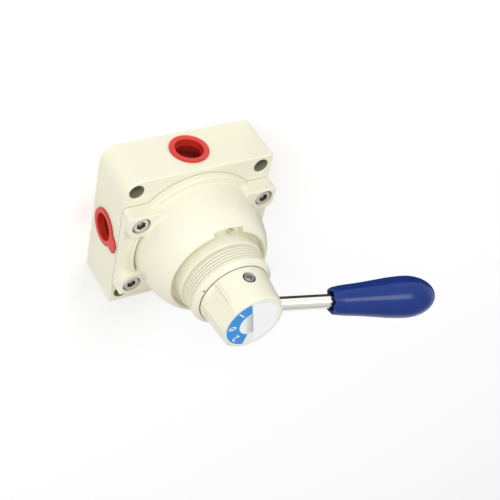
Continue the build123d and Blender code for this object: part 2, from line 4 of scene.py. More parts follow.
import bmesh
import bpy
import numpy as np
from mathutils import Matrix, Vector


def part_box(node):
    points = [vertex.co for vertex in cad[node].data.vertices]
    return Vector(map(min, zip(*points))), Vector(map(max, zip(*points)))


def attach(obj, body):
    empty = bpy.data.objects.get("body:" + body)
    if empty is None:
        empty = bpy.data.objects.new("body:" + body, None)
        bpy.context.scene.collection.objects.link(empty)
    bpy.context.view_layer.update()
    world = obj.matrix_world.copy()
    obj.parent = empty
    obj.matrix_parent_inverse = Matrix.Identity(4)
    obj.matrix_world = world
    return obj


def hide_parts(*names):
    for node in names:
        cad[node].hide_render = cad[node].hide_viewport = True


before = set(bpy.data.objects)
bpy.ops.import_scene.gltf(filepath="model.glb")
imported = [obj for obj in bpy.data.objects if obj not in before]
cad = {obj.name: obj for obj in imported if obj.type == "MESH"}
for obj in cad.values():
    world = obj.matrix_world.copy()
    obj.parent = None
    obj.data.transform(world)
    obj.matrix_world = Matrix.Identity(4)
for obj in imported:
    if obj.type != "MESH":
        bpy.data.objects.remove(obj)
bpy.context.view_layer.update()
MM = 0.001


# ---- camera -------------------------------------------------------------------------------------
# A short telephoto looks down on the valve from behind its keyed side.
# It is rolled so that the lever points to the right of the picture.
FILM_WIDTH = 36.0
FOCAL_LENGTH = 76.73
CAMERA_AT = (-0.2128, 0.3405, 0.3273)
CAMERA_BACK = Vector((-0.469, 0.683, 0.560)).normalized()
CAMERA_RIGHT = Vector((0.855, 0.193, 0.481))
lens = bpy.data.cameras.new("camera")
lens.sensor_width = FILM_WIDTH
lens.lens = FOCAL_LENGTH
camera_up = CAMERA_BACK.cross(CAMERA_RIGHT).normalized()
camera_turn = Matrix((camera_up.cross(CAMERA_BACK), camera_up, CAMERA_BACK)).transposed().to_4x4()
camera = bpy.data.objects.new("camera", lens)
camera.matrix_world = Matrix.Translation(CAMERA_AT) @ camera_turn
bpy.context.scene.collection.objects.link(camera)
bpy.context.scene.camera = camera
bpy.context.scene.view_settings.view_transform = "Standard"


# ---- floor and light ----------------------------------------------------------------------------
# White sweep under a soft sky that is brighter on the keyed side, with two wide lamps there.
# Seen by the camera and in reflections the sweep glows a little and the sky is white near the floor;
# a dark card, seen in reflections only, draws the dark line along the bright rod.
KEY_FROM = Vector((-0.54, 0.62, 0.50)).normalized()
STRIP_FROM = Vector((0.13, 0.68, 0.72)).normalized()
LAMP_DISTANCE = 1.2
LAMPS = (("key", KEY_FROM, 3.0, 0.6), ("strip", STRIP_FROM, 2.6, 0.42))
SKY_LOW = 0.38
SKY_HIGH = 0.86
SKY_FROM = -0.6
SKY_TO = 0.8
WHITE_BELOW = 0.3
SKY_ABOVE = 0.5
SWEEP_HALF = 30.0
SWEEP_PAPER = 0.9
SWEEP_GLOW = 0.25
SWEEP_WHITE = 0.87
CARD_GREY = (0.06, 0.06, 0.05, 1.0)
CARD_NEAR = (0.042, 0.14)
CARD_FAR = (0.6, -0.6)
CARD_Z = 0.5 * MM


def linked(tree, source, target):
    """Joins two sockets of a node tree."""
    tree.links.new(source, target)


def spread(tree, amount, low, high, start=0.0, end=1.0):
    """An amount that runs from start to end, stretched to run from low to high."""
    stretch = tree.nodes.new("ShaderNodeMapRange")
    for socket, value in (("From Min", start), ("From Max", end), ("To Min", low), ("To Max", high)):
        stretch.inputs[socket].default_value = value
    linked(tree, amount, stretch.inputs["Value"])
    return stretch.outputs["Result"]


def vector_step(tree, operation, first, second=None):
    """One vector operation on a socket, and on a fixed second vector where it takes one."""
    step = tree.nodes.new("ShaderNodeVectorMath")
    step.operation = operation
    linked(tree, first, step.inputs[0])
    if second is not None:
        step.inputs[1].default_value = second
    return step.outputs["Value" if operation in ("LENGTH", "DOT_PRODUCT") else "Vector"]


def number_step(tree, operation, first, second=None):
    """One operation on a socket's number, and on a second socket's where it takes one."""
    step = tree.nodes.new("ShaderNodeMath")
    step.operation = operation
    linked(tree, first, step.inputs[0])
    if second is not None:
        linked(tree, second, step.inputs[1])
    return step.outputs[0]


def seen_ray(tree):
    """1 for rays from the camera, in a reflection or through glass, and 0 for light."""
    ray = tree.nodes.new("ShaderNodeLightPath")
    direct = number_step(tree, "MAXIMUM", ray.outputs["Is Camera Ray"], ray.outputs["Is Glossy Ray"])
    return number_step(tree, "MAXIMUM", direct, ray.outputs["Is Transmission Ray"])


sky = bpy.data.worlds.new("sky")
bpy.context.scene.world = sky
sky.use_nodes = True
tree = sky.node_tree
direction = tree.nodes.new("ShaderNodeTexCoord").outputs["Generated"]
towards_key = vector_step(tree, "DOT_PRODUCT", direction, KEY_FROM)
brightness = spread(tree, towards_key, SKY_LOW, SKY_HIGH, SKY_FROM, SKY_TO)
height = tree.nodes.new("ShaderNodeSeparateXYZ")
linked(tree, direction, height.inputs[0])
low_down = spread(tree, height.outputs["Z"], 1.0, 0.0, WHITE_BELOW, SKY_ABOVE)
horizon = tree.nodes.new("ShaderNodeMix")
horizon.inputs[3].default_value = 1.0
linked(tree, number_step(tree, "MULTIPLY", low_down, seen_ray(tree)), horizon.inputs[0])
linked(tree, brightness, horizon.inputs[2])
linked(tree, horizon.outputs[0], tree.nodes["Background"].inputs["Strength"])
tree.nodes["Background"].inputs["Color"].default_value = (1.0, 1.0, 1.0, 1.0)


def flat_sheet(name, low_x, low_y, high_x, high_y, z, finish):
    """A staged level sheet, floor or card: a rectangle at one height that faces up."""
    mesh = bpy.data.meshes.new(name)
    corners = [(low_x, low_y, z), (high_x, low_y, z), (high_x, high_y, z), (low_x, high_y, z)]
    mesh.from_pydata(corners, [], [(0, 1, 2, 3)])
    mesh.materials.append(finish)
    sheet = bpy.data.objects.new(name, mesh)
    bpy.context.scene.collection.objects.link(sheet)
    return sheet


sweep_white = bpy.data.materials.new("sweep_white")
sweep_white.use_nodes = True
tree = sweep_white.node_tree
tree.nodes.clear()
paper = tree.nodes.new("ShaderNodeBsdfDiffuse")
paper.inputs["Color"].default_value = (SWEEP_PAPER, SWEEP_PAPER, SWEEP_PAPER, 1.0)
seen_paper = tree.nodes.new("ShaderNodeBsdfDiffuse")
seen_paper.inputs["Color"].default_value = (SWEEP_WHITE, SWEEP_WHITE, SWEEP_WHITE, 1.0)
glow = tree.nodes.new("ShaderNodeEmission")
glow.inputs["Strength"].default_value = SWEEP_GLOW
seen = tree.nodes.new("ShaderNodeAddShader")
linked(tree, seen_paper.outputs[0], seen.inputs[0])
linked(tree, glow.outputs[0], seen.inputs[1])
choose = tree.nodes.new("ShaderNodeMixShader")
linked(tree, seen_ray(tree), choose.inputs[0])
linked(tree, paper.outputs[0], choose.inputs[1])
linked(tree, seen.outputs[0], choose.inputs[2])
linked(tree, choose.outputs[0], tree.nodes.new("ShaderNodeOutputMaterial").inputs["Surface"])
flat_sheet("sweep", -SWEEP_HALF, -SWEEP_HALF, SWEEP_HALF, SWEEP_HALF, 0.0, sweep_white)

card_dark = bpy.data.materials.new("card_dark")
card_dark.use_nodes = True
shader = card_dark.node_tree.nodes["Principled BSDF"]
shader.inputs["Base Color"].default_value = CARD_GREY
shader.inputs["Specular IOR Level"].default_value = 0.0
card = flat_sheet("card", CARD_NEAR[0], CARD_FAR[1], CARD_FAR[0], CARD_NEAR[1], CARD_Z, card_dark)
card.visible_camera = False
card.visible_diffuse = False
card.visible_transmission = False
card.visible_shadow = False

for name, direction, power, size in LAMPS:
    light = bpy.data.lights.new(name, "AREA")
    light.energy = power
    light.size = size
    lamp = bpy.data.objects.new(name, light)
    turn = direction.to_track_quat("Z", "Y").to_matrix().to_4x4()
    lamp.matrix_world = Matrix.Translation(direction * LAMP_DISTANCE) @ turn
    bpy.context.scene.collection.objects.link(lamp)


# ---- port base ----------------------------------------------------------------------------------
# Square die-cast block under a cream stove enamel, with four side ports and four through holes.
# The enamel has a faint orange peel and drifts a little in tint; the drilled holes are bare alloy, darkened
# with painted shade.
CREAM = (0.85, 0.833, 0.675)
CREAM_WARM = (0.86, 0.828, 0.65)
BORE_ALLOY_AND_SHADE = (0.28, 0.275, 0.175)
DRIFT_SCALE = 26.0
ENAMEL_ROUGH = (0.29, 0.39)
SHEEN_SCALE = 90.0
PEEL_SCALE = 420.0
PEEL_DEPTH = 0.05 * MM
PEEL_STRENGTH = 0.4
MOUNT_INSET = 5.75 * MM
MOUNT_R = 3.5 * MM
MOUNT_LIP = 0.1 * MM
MOUNT_LIP_SOFT = 0.05 * MM
DRIFT_STOPS = (0.3, 0.7)


def new_finish(name, roughness, metallic=0.0):
    """A material with its node tree, its shader and Object coordinates ready to be joined."""
    finish = bpy.data.materials.new(name)
    finish.use_nodes = True
    shader = finish.node_tree.nodes["Principled BSDF"]
    shader.inputs["Roughness"].default_value = roughness
    shader.inputs["Metallic"].default_value = metallic
    place = finish.node_tree.nodes.new("ShaderNodeTexCoord").outputs["Object"]
    return finish, finish.node_tree, shader, place


def noise(tree, place, scale, detail=2.0):
    """Fractal noise over Object coordinates, scale in features per metre."""
    cloud = tree.nodes.new("ShaderNodeTexNoise")
    cloud.inputs["Scale"].default_value = scale
    cloud.inputs["Detail"].default_value = detail
    linked(tree, place, cloud.inputs["Vector"])
    return cloud.outputs["Fac"]


def drift(tree, amount, low, high):
    """Colour that drifts between two tints with a 0 to 1 amount."""
    ramp = tree.nodes.new("ShaderNodeValToRGB")
    for end, position, tint in zip(ramp.color_ramp.elements, DRIFT_STOPS, (low, high)):
        end.position = position
        end.color = (*tint, 1.0)
    linked(tree, amount, ramp.inputs["Fac"])
    return ramp.outputs["Color"]


def over(tree, colour, mask, tint):
    """A tint laid over a colour where the mask is 1."""
    mix = tree.nodes.new("ShaderNodeMix")
    mix.data_type = "RGBA"
    mix.inputs[7].default_value = (*tint, 1.0)
    linked(tree, mask, mix.inputs[0])
    linked(tree, colour, mix.inputs[6])
    return mix.outputs[2]


def bumped(tree, shader, height, distance, strength=1.0):
    """Height in metres raised on the shader's normal."""
    bump = tree.nodes.new("ShaderNodeBump")
    bump.inputs["Strength"].default_value = strength
    bump.inputs["Distance"].default_value = distance
    linked(tree, height, bump.inputs["Height"])
    linked(tree, bump.outputs["Normal"], shader.inputs["Normal"])


def ball_mask(tree, place, centre, radius, soft, squash=(1.0, 1.0, 1.0)):
    """1 within a radius of a point and 0 beyond it, over a soft edge; squash 0 drops an axis."""
    away = vector_step(tree, "SUBTRACT", place, centre)
    far = vector_step(tree, "LENGTH", vector_step(tree, "MULTIPLY", away, squash))
    return spread(tree, far, 1.0, 0.0, radius - soft, radius + soft)


def below_mask(tree, place, height, soft):
    """1 below a height and 0 above it."""
    split = tree.nodes.new("ShaderNodeSeparateXYZ")
    linked(tree, place, split.inputs[0])
    return spread(tree, split.outputs["Z"], 1.0, 0.0, height - soft, height + soft)


def enamelled(name):
    """Cream stove enamel over a casting, and its colour before anything is laid over it."""
    finish, tree, shader, place = new_finish(name, sum(ENAMEL_ROUGH) / 2)
    cream = drift(tree, noise(tree, place, DRIFT_SCALE), CREAM, CREAM_WARM)
    linked(tree, spread(tree, noise(tree, place, SHEEN_SCALE), *ENAMEL_ROUGH), shader.inputs["Roughness"])
    bumped(tree, shader, noise(tree, place, PEEL_SCALE), PEEL_DEPTH, PEEL_STRENGTH)
    return finish, tree, shader, place, cream


def dressed(piece, finish):
    """Gives every face of an object one material."""
    piece.data.materials.clear()
    piece.data.materials.append(finish)


base_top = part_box("port_base")[1].z
half = 0.5 * (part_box("bonnet")[1].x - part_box("bonnet")[0].x)
mount_at = half - MOUNT_INSET
base_enamel, tree, shader, place, cream = enamelled("base_enamel")
# Inside the mounting holes the colour is bare alloy, darkened further as painted shade.
quarter = vector_step(tree, "ABSOLUTE", place)
mount_edge = MOUNT_R + MOUNT_LIP
in_hole = ball_mask(tree, quarter, (mount_at, mount_at, 0.0), mount_edge, MOUNT_LIP_SOFT, (1.0, 1.0, 0.0))
linked(tree, over(tree, cream, in_hole, BORE_ALLOY_AND_SHADE), shader.inputs["Base Color"])
dressed(cad["port_base"], base_enamel)


# ---- seat plate, its pin and its seals ----------------------------------------------------------
# Ground steel plate dropped into the base over four rubber rings, and pinned against turning.
# The same ground finish serves every small steel pin, the stem and the detent ring.
MARK_WANDER = 1.5
MARK_DEPTH = 0.004 * MM
BLOTCH_SCALE = 150.0
BLOTCH_DARKER = 0.88
SMEAR_SCALE = 700.0
SMEAR_DRIFT = (-0.06, 0.08)
# Near black, laid over metal as painted shade in its recesses.
SHADE_BLACK = (0.02, 0.019, 0.016)
TINT_SCALE = 60.0
GLOSS_SCALE = 200.0
GLOSS_DRIFT = 0.05
BUMP_STRENGTH = 0.5
# Share of the deeper tint that plastic keeps under painted shade.
SHADE_SHARE = 0.25


def ground_metal(name, colour, roughness, lines, metallic=1.0):
    """Metal with fine turning marks, rings about Z so many per metre, under a soft blotch.

    An attribute that holds painted shade, where the piece has one, darkens it towards near black.
    """
    finish, tree, shader, place = new_finish(name, roughness, metallic)
    rings = tree.nodes.new("ShaderNodeTexWave")
    rings.wave_type = "RINGS"
    rings.rings_direction = "Z"
    rings.inputs["Scale"].default_value = lines
    rings.inputs["Distortion"].default_value = MARK_WANDER
    linked(tree, place, rings.inputs["Vector"])
    painted_shade = tree.nodes.new("ShaderNodeAttribute")
    painted_shade.attribute_name = "painted_shade"
    worn = drift(tree, noise(tree, place, BLOTCH_SCALE), tuple(BLOTCH_DARKER * c for c in colour), colour)
    linked(tree, over(tree, worn, painted_shade.outputs["Fac"], SHADE_BLACK), shader.inputs["Base Color"])
    smooth, smeared = (roughness + change for change in SMEAR_DRIFT)
    rough = spread(tree, noise(tree, place, SMEAR_SCALE), smooth, smeared)
    linked(tree, rough, shader.inputs["Roughness"])
    bumped(tree, shader, rings.outputs["Fac"], MARK_DEPTH, BUMP_STRENGTH)
    return finish


def moulded(name, colour, deeper, roughness, grain, depth):
    """Plastic or rubber: a slow drift between two tints over a fine moulded grain.

    An attribute that holds painted shade, where the piece has one, darkens it to a quarter of its deeper tint.
    """
    finish, tree, shader, place = new_finish(name, roughness)
    painted_shade = tree.nodes.new("ShaderNodeAttribute")
    painted_shade.attribute_name = "painted_shade"
    tint = drift(tree, noise(tree, place, TINT_SCALE), colour, deeper)
    dark = tuple(SHADE_SHARE * c for c in deeper)
    linked(tree, over(tree, tint, painted_shade.outputs["Fac"], dark), shader.inputs["Base Color"])
    rough = spread(tree, noise(tree, place, GLOSS_SCALE), roughness - GLOSS_DRIFT, roughness + GLOSS_DRIFT)
    linked(tree, rough, shader.inputs["Roughness"])
    bumped(tree, shader, noise(tree, place, grain), depth, BUMP_STRENGTH)
    return finish


ground_steel = ground_metal("ground_steel", (0.56, 0.56, 0.57), roughness=0.26, lines=900.0)
seal_rubber = moulded("seal_rubber", (0.03, 0.03, 0.032), (0.022, 0.022, 0.022), roughness=0.55, grain=1500.0,
                      depth=0.02 * MM)
for part in ("port_plate", "seat_pin", "stop_pin", "detent_race", "detent_ball_a", "detent_ball_b", "stem"):
    dressed(cad[part], ground_steel)
for part in ("port_plate_seals", "bonnet_seal", "stem_seals"):
    dressed(cad[part], seal_rubber)


# ---- rotor, springs, bush and washer ------------------------------------------------------------
# The moving works inside: an aluminium rotor pressed on its seat by a dished spring,
# a brass bush for the stem, a plastic thrust washer and two small coil springs.
dressed(cad["rotor_disc"], ground_metal("lapped_aluminium", (0.78, 0.79, 0.80), roughness=0.22, lines=700.0))
dressed(cad["stem_bush"], ground_metal("bush_brass", (0.70, 0.52, 0.23), roughness=0.28, lines=800.0))
spring_finish = ground_metal("spring_wire", (0.42, 0.42, 0.43), roughness=0.34, lines=500.0)
dressed(cad["disc_spring"], spring_finish)
dressed(cad["detent_springs"], spring_finish)
washer_finish = moulded("washer_plastic", (0.82, 0.82, 0.77), (0.78, 0.78, 0.72), roughness=0.5, grain=900.0,
                        depth=0.01 * MM)
dressed(cad["thrust_washer"], washer_finish)


# ---- bonnet and its neck thread -----------------------------------------------------------------
# Domed die-cast cover with four screw ears, ribs and a keyed shoulder, in the base's enamel.
# Its neck carries a fine thread for a panel nut, and a small vent; painted shade darkens the thread's grooves,
# the vent and the joint with the base.
THREAD_PITCH = 1.5 * MM
THREAD_DEPTH = 0.86 * MM
THREAD_ROOT_R = 19.1 * MM
THREAD_START = 32.5 * MM
THREAD_END = 41.0 * MM
JOINT_SHADE = (0.36, 0.34, 0.26)
JOINT_SHADE_H = 0.28 * MM
THREAD_SHADE = (0.56, 0.53, 0.39)
THREAD_RUNOUT = 0.3
THREAD_SHADE_FULL = 1.6
THREAD_SHADE_FALL = 2.4
THREAD_COLUMNS = 180
THREAD_ROWS = 240
TOOTH_CREST = 2.9
TOOTH_SLOPE = 6.5
SLEEVE_LIP = 0.97
SHADE_SOFT = 0.08 * MM
VENT_R = 0.4 * MM
VENT_AT = Vector((18.1 * MM, 0.0, 43.2 * MM))
VENT_AZ = math.radians(156.0)
VENT_SHADE = (0.05, 0.045, 0.03)
WELD_WITHIN = 1e-7
FLAT_WITHIN = 1e-8
bonnet_enamel, tree, shader, place, cream = enamelled("bonnet_enamel")
# Painted shade darkens a thin band of enamel along the joint with the base, and a dark spot of painted shade
# marks the vent.
at_joint = below_mask(tree, place, base_top + JOINT_SHADE_H, SHADE_SOFT)
vent_at = Matrix.Rotation(VENT_AZ, 3, "Z") @ VENT_AT + Vector((0.0, 0.0, base_top))
in_vent = ball_mask(tree, place, vent_at, VENT_R, SHADE_SOFT)
shaded_cream = over(tree, cream, at_joint, JOINT_SHADE)
linked(tree, over(tree, shaded_cream, in_vent, VENT_SHADE), shader.inputs["Base Color"])
dressed(cad["bonnet"], bonnet_enamel)


def skin(name, grid, finish, body, sharp=35.0, painted_shade=None):
    """A piece from a grid of points, rows by columns by 3, whose columns close into rings.

    Rows that shrink to a point are welded, normals are turned outwards, and edges sharper than
    the given angle in degrees stay crisp.  Painted shade is a 0 to 1 value for each row or point.
    """
    rows, columns = grid.shape[:2]
    first = np.arange((rows - 1) * columns)
    ring = first - first % columns
    beside = ring + (first + 1) % columns
    faces = np.stack([first, beside, beside + columns, first + columns], axis=1)
    mesh = bpy.data.meshes.new(name)
    mesh.from_pydata(grid.reshape(-1, 3), [], faces.tolist())
    if painted_shade is not None:
        layer = mesh.attributes.new("painted_shade", "FLOAT", "POINT")
        layer.data.foreach_set("value", np.broadcast_to(painted_shade, (rows, columns)).astype(np.float32).ravel())
    weld = bmesh.new()
    weld.from_mesh(mesh)
    bmesh.ops.remove_doubles(weld, verts=weld.verts, dist=WELD_WITHIN)
    bmesh.ops.dissolve_degenerate(weld, edges=weld.edges, dist=FLAT_WITHIN)
    bmesh.ops.recalc_face_normals(weld, faces=weld.faces)
    weld.to_mesh(mesh)
    weld.free()
    mesh.shade_smooth()
    mesh.set_sharp_from_angle(angle=math.radians(sharp))
    piece = bpy.data.objects.new(name, mesh)
    bpy.context.scene.collection.objects.link(piece)
    dressed(piece, finish)
    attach(piece, body)
    return piece


def thread_sleeve(z0, z1, root, depth, pitch):
    """A closed threaded sleeve, and how much painted shade each of its points takes.

    The radius is the root plus the depth times a flat-topped wave of (height / pitch - turn), which
    fades in and out over the run-out at both ends.  Painted shade lies where the wave is low, in the grooves.
    """
    turn = np.linspace(0.0, 1.0, THREAD_COLUMNS, endpoint=False)[None, :]
    z = np.linspace(z0, z1, THREAD_ROWS)[:, None]
    phase = (z / pitch - turn) % 1.0
    runout = THREAD_RUNOUT * pitch
    fade = np.clip((z - z0) / runout, 0.0, 1.0) * np.clip((z1 - z) / runout, 0.0, 1.0)
    tooth = np.clip(TOOTH_CREST - TOOTH_SLOPE * np.abs(phase - 0.5), 0.0, 1.0)
    r = root + depth * tooth * fade
    angle = 2 * math.pi * turn
    grid = np.stack([r * np.cos(angle), r * np.sin(angle), z + 0 * r], axis=2)
    low, high = grid[:1].copy(), grid[-1:].copy()
    low[..., :2] *= SLEEVE_LIP
    high[..., :2] *= SLEEVE_LIP
    groove_shade = np.clip(THREAD_SHADE_FULL - THREAD_SHADE_FALL * tooth, 0.0, 1.0) * fade
    return np.concatenate([low, grid, high, low]), np.concatenate([groove_shade[:1], groove_shade, groove_shade[-1:], groove_shade[:1]])


# Painted shade darkens the thread's grooves.
thread_enamel, tree, shader, place, cream = enamelled("thread_enamel")
painted_shade = tree.nodes.new("ShaderNodeAttribute")
painted_shade.attribute_name = "painted_shade"
linked(tree, over(tree, cream, painted_shade.outputs["Fac"], THREAD_SHADE), shader.inputs["Base Color"])
sleeve, groove_shade = thread_sleeve(base_top + THREAD_START, base_top + THREAD_END, THREAD_ROOT_R, THREAD_DEPTH,
                             THREAD_PITCH)
neck_thread = skin("neck_thread", sleeve, thread_enamel, "valve", painted_shade=groove_shade)


# ---- bonnet screws ------------------------------------------------------------------------------
# Four socket head cap screws, bright zinc plated, with a knurled head and a six-sided socket.
# Painted shade darkens the side of the head and the socket.
SCREW_HEAD_R = 4.2 * MM
SCREW_SHANK_R = 2.5 * MM
SCREW_HEAD_H = 5.0 * MM
KNURLS = 40
KNURL_DEPTH = 0.14 * MM
HEAD_EASE = 0.12
SOCKET_AF = 4.0 * MM
SOCKET_DEPTH = 2.0 * MM
DRILL_CONE = (0.2 * SOCKET_AF, 0.3 * SOCKET_AF)


def hexagon_radius(angle, across_flats):
    """Radius of a hexagon at each angle: half its width over the cosine of the angle from a flat."""
    return 0.5 * across_flats / np.cos((angle + math.pi / 6) % (math.pi / 3) - math.pi / 6)


def turned(rows, angle):
    """Grid of (x, y, height) from rows that start with (radius at each angle, height)."""
    r = np.array([row[0] + 0 * angle for row in rows])
    z = np.array([row[1] for row in rows])[:, None] + 0 * r
    return np.stack([r * np.cos(angle), r * np.sin(angle), z], axis=2)


def cap_screw(head_r, head_h, shank_r, length):
    """Rows of (radius, height, painted shade) turned about Z, heights down from the head's top.

    The side rows lose a rectified sine of the angle for the knurl, and the socket rows take the
    radius of a hexagon at each angle.  The edges are eased in steps of a share of the head's radius.
    """
    angle = np.linspace(0.0, 2 * math.pi, 240, endpoint=False)
    side = head_r - KNURL_DEPTH * np.abs(np.sin(KNURLS * angle / 2))
    flats = hexagon_radius(angle, SOCKET_AF)
    ease = HEAD_EASE * head_r
    rows = [(0.0, -length, 1), (0.8 * shank_r, -length, 1), (shank_r, -length + 0.2 * shank_r, 1),
            (shank_r, -head_h, 1), (side, -head_h, 1), (side, -2.2 * ease, 1),
            (side - 0.1 * ease, -1.5 * ease, 1), (head_r - 0.5 * ease, -ease, 0.7),
            (head_r - 0.9 * ease, -0.5 * ease, 0), (head_r - 1.5 * ease, -0.1 * ease, 0),
            (head_r - 2 * ease, 0.0, 0), (flats + 0.6 * ease, 0.0, 0),
            (flats + 0.1 * ease, -0.3 * ease, 0.1), (flats, -0.8 * ease, 0.7), (flats, -SOCKET_DEPTH, 0.75),
            (0.6 * flats, -SOCKET_DEPTH - DRILL_CONE[0], 0.4), (0.0, -SOCKET_DEPTH - DRILL_CONE[1], 0.2)]
    return turned(rows, angle), np.array([row[2] for row in rows])[:, None]


def joined(pieces):
    """Merges closed pieces of one finish into the first of them."""
    whole = bmesh.new()
    for piece in pieces:
        whole.from_mesh(piece.data)
    whole.to_mesh(pieces[0].data)
    whole.free()
    for piece in pieces[1:]:
        bpy.data.objects.remove(piece)
    return pieces[0]


plated_steel = ground_metal("plated_steel", (0.84, 0.81, 0.73), roughness=0.22, lines=1200.0)
screw_low, screw_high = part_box("bonnet_screws")
one_screw, screw_shade = cap_screw(SCREW_HEAD_R, SCREW_HEAD_H, SCREW_SHANK_R, screw_high.z - screw_low.z)
screws = []
for across in (screw_low.x + SCREW_HEAD_R, screw_high.x - SCREW_HEAD_R):
    for along in (screw_low.y + SCREW_HEAD_R, screw_high.y - SCREW_HEAD_R):
        centre = np.array([across, along, screw_high.z])
        screws.append(skin("cap_screws", one_screw + centre, plated_steel, "valve", 40.0, screw_shade))
cap_screws = joined(screws)
cap_screws.name = "cap_screws"
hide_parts("bonnet_screws")
# The key pin's polished steel is raised to near white as a painted highlight.
dressed(cad["key_pin"], ground_metal("pin_polish_and_highlight", (0.9, 0.89, 0.86), roughness=0.3, lines=1200.0))


# ---- hub and its screws -------------------------------------------------------------------------
# Tapered casting in the same enamel, flatted on one side, clamped on the stem by a screw under
# the dial and by a socket set screw in its side.  A turned skirt rounds its foot, and painted shade
# darkens the foot and the edges of the flats.
HUB_FOOT_SHADE = (0.07, 0.06, 0.045)
HUB_FOOT_H = 0.22 * MM
HUB_FOOT_SOFT = 0.06 * MM
FACET_LINES = ((131.8, 0.5), (136.6, 1.0), (180.0, 0.4))
FACET_SHADE = (0.34, 0.31, 0.21)
FACET_SHADE_MOST = 0.75
FACET_LINE_W = 0.22 * MM
FACET_LINE_CORE = 0.3 * FACET_LINE_W
FACET_LINE_END = 6.0 * MM
FACET_LINE_SOFT = 1.0 * MM
hub_low, hub_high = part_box("hub")
neck_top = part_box("bonnet")[1].z
hub_enamel, tree, shader, place, cream = enamelled("hub_enamel")
# Painted shade darkens the hub's foot by the neck and thin lines along the edges of the flats.
at_foot = below_mask(tree, place, neck_top + HUB_FOOT_H, HUB_FOOT_SOFT)
shaded_cream = over(tree, cream, at_foot, HUB_FOOT_SHADE)
for azimuth, weight in FACET_LINES:
    turn = math.radians(azimuth)
    sideways = vector_step(tree, "DOT_PRODUCT", place, (-math.sin(turn), math.cos(turn), 0.0))
    outward = vector_step(tree, "DOT_PRODUCT", place, (math.cos(turn), math.sin(turn), 0.0))
    off_line = number_step(tree, "ABSOLUTE", sideways)
    on_line = spread(tree, off_line, FACET_SHADE_MOST * weight, 0.0, FACET_LINE_CORE, FACET_LINE_W)
    low_end = below_mask(tree, place, hub_high.z - FACET_LINE_END, FACET_LINE_SOFT)
    on_line = number_step(tree, "MULTIPLY", on_line, low_end)
    this_side = spread(tree, outward, 0.0, 1.0, 0.0, FACET_LINE_SOFT)
    shaded_cream = over(tree, shaded_cream, number_step(tree, "MULTIPLY", on_line, this_side), FACET_SHADE)
linked(tree, shaded_cream, shader.inputs["Base Color"])
dressed(cad["hub"], hub_enamel)
dressed(cad["hub_screw"], plated_steel)

SKIRT_TAPER = 1.7 / 18.6
SKIRT_LESS = 0.03 * MM
SKIRT_BURIED = 0.5 * MM
SKIRT_STEP = 0.1 * MM
SKIRT_TOP = 1.1 * MM
SKIRT_EASE = 1.7 * MM
SKIRT_KNEE = 0.25 * MM
SKIRT_KNEE_AT = 0.3
SKIRT_LEAN = 1.35 * MM
SKIRT_BORE = 0.8
angle = np.linspace(0.0, 2 * math.pi, 120, endpoint=False)
skirt_r = 0.5 * (hub_high.x - hub_low.x) - SKIRT_LESS
skirt_in = SKIRT_BORE * skirt_r
skirt_out = skirt_r - SKIRT_TAPER * SKIRT_TOP
foot_z = neck_top - SKIRT_BURIED
ease_z = foot_z + SKIRT_TOP
skirt_rows = [(skirt_in, foot_z + SKIRT_STEP), (skirt_r - SKIRT_TAPER * SKIRT_STEP, foot_z + SKIRT_STEP),
              (skirt_out, ease_z), (skirt_out - SKIRT_KNEE, ease_z + SKIRT_KNEE_AT * SKIRT_EASE),
              (skirt_r - SKIRT_LEAN, ease_z + SKIRT_EASE), (skirt_in, ease_z + SKIRT_EASE),
              (skirt_in, foot_z + SKIRT_STEP)]
hub_skirt = skin("hub_skirt", turned(skirt_rows, angle), hub_enamel, "lever")

SET_SCREW_R = 3.0 * MM
SET_SCREW_AZ = math.radians(86.0)
SET_SCREW_OUT = 16.25 * MM
SET_SCREW_IN = 5.45 * MM
SET_POINT_R = 1.6 * MM
SET_POINT_L = 1.2 * MM
SET_CHAMFER = 0.7 * MM
SET_CHAMFER_STEPS = (0.6 * MM, 0.5 * MM)
SET_EASE = 0.15 * MM
SET_SOCKET_AF = 3.0 * MM
SET_SOCKET_RIM = 0.2 * MM
SET_SOCKET_DEPTHS = (1.7 * MM, 1.75 * MM, 2.1 * MM)
# Near-white steel makes a painted highlight on the socket floor; painted shade darkens the edge and the socket
# walls.
set_steel_and_highlight = ground_metal("set_screw_steel_and_highlight", (0.85, 0.84, 0.80), roughness=0.24, lines=1200.0, metallic=0.35)
set_screw_z = 0.5 * (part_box("set_screw")[0].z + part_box("set_screw")[1].z)
flats = hexagon_radius(angle, SET_SOCKET_AF)
set_rows = [(0.0, SET_SCREW_IN, 1), (SET_POINT_R, SET_SCREW_IN, 1),
            (SET_SCREW_R, SET_SCREW_IN + SET_POINT_L, 1),
            (SET_SCREW_R, SET_SCREW_OUT - SET_CHAMFER_STEPS[1], 1),
            (SET_SCREW_R - SET_CHAMFER_STEPS[0], SET_SCREW_OUT - SET_EASE, 1),
            (SET_SCREW_R - SET_CHAMFER, SET_SCREW_OUT, 0.7), (flats + SET_SOCKET_RIM, SET_SCREW_OUT, 0.3),
            (flats, SET_SCREW_OUT - SET_EASE, 0.9), (flats, SET_SCREW_OUT - SET_SOCKET_DEPTHS[0], 0.5),
            (0.75 * flats, SET_SCREW_OUT - SET_SOCKET_DEPTHS[1], 0.0),
            (0.0, SET_SCREW_OUT - SET_SOCKET_DEPTHS[2], 0.0)]
set_grid = turned(set_rows, angle)
side, up, out = set_grid[..., 0], set_grid[..., 1], set_grid[..., 2]
cos_az, sin_az = math.cos(SET_SCREW_AZ), math.sin(SET_SCREW_AZ)
set_grid = np.stack([out * cos_az - side * sin_az, out * sin_az + side * cos_az, set_screw_z + up], axis=2)
set_screw_shade = np.array([row[2] for row in set_rows])[:, None]
side_screw = skin("side_set_screw", set_grid, set_steel_and_highlight, "lever", painted_shade=set_screw_shade)
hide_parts("set_screw")


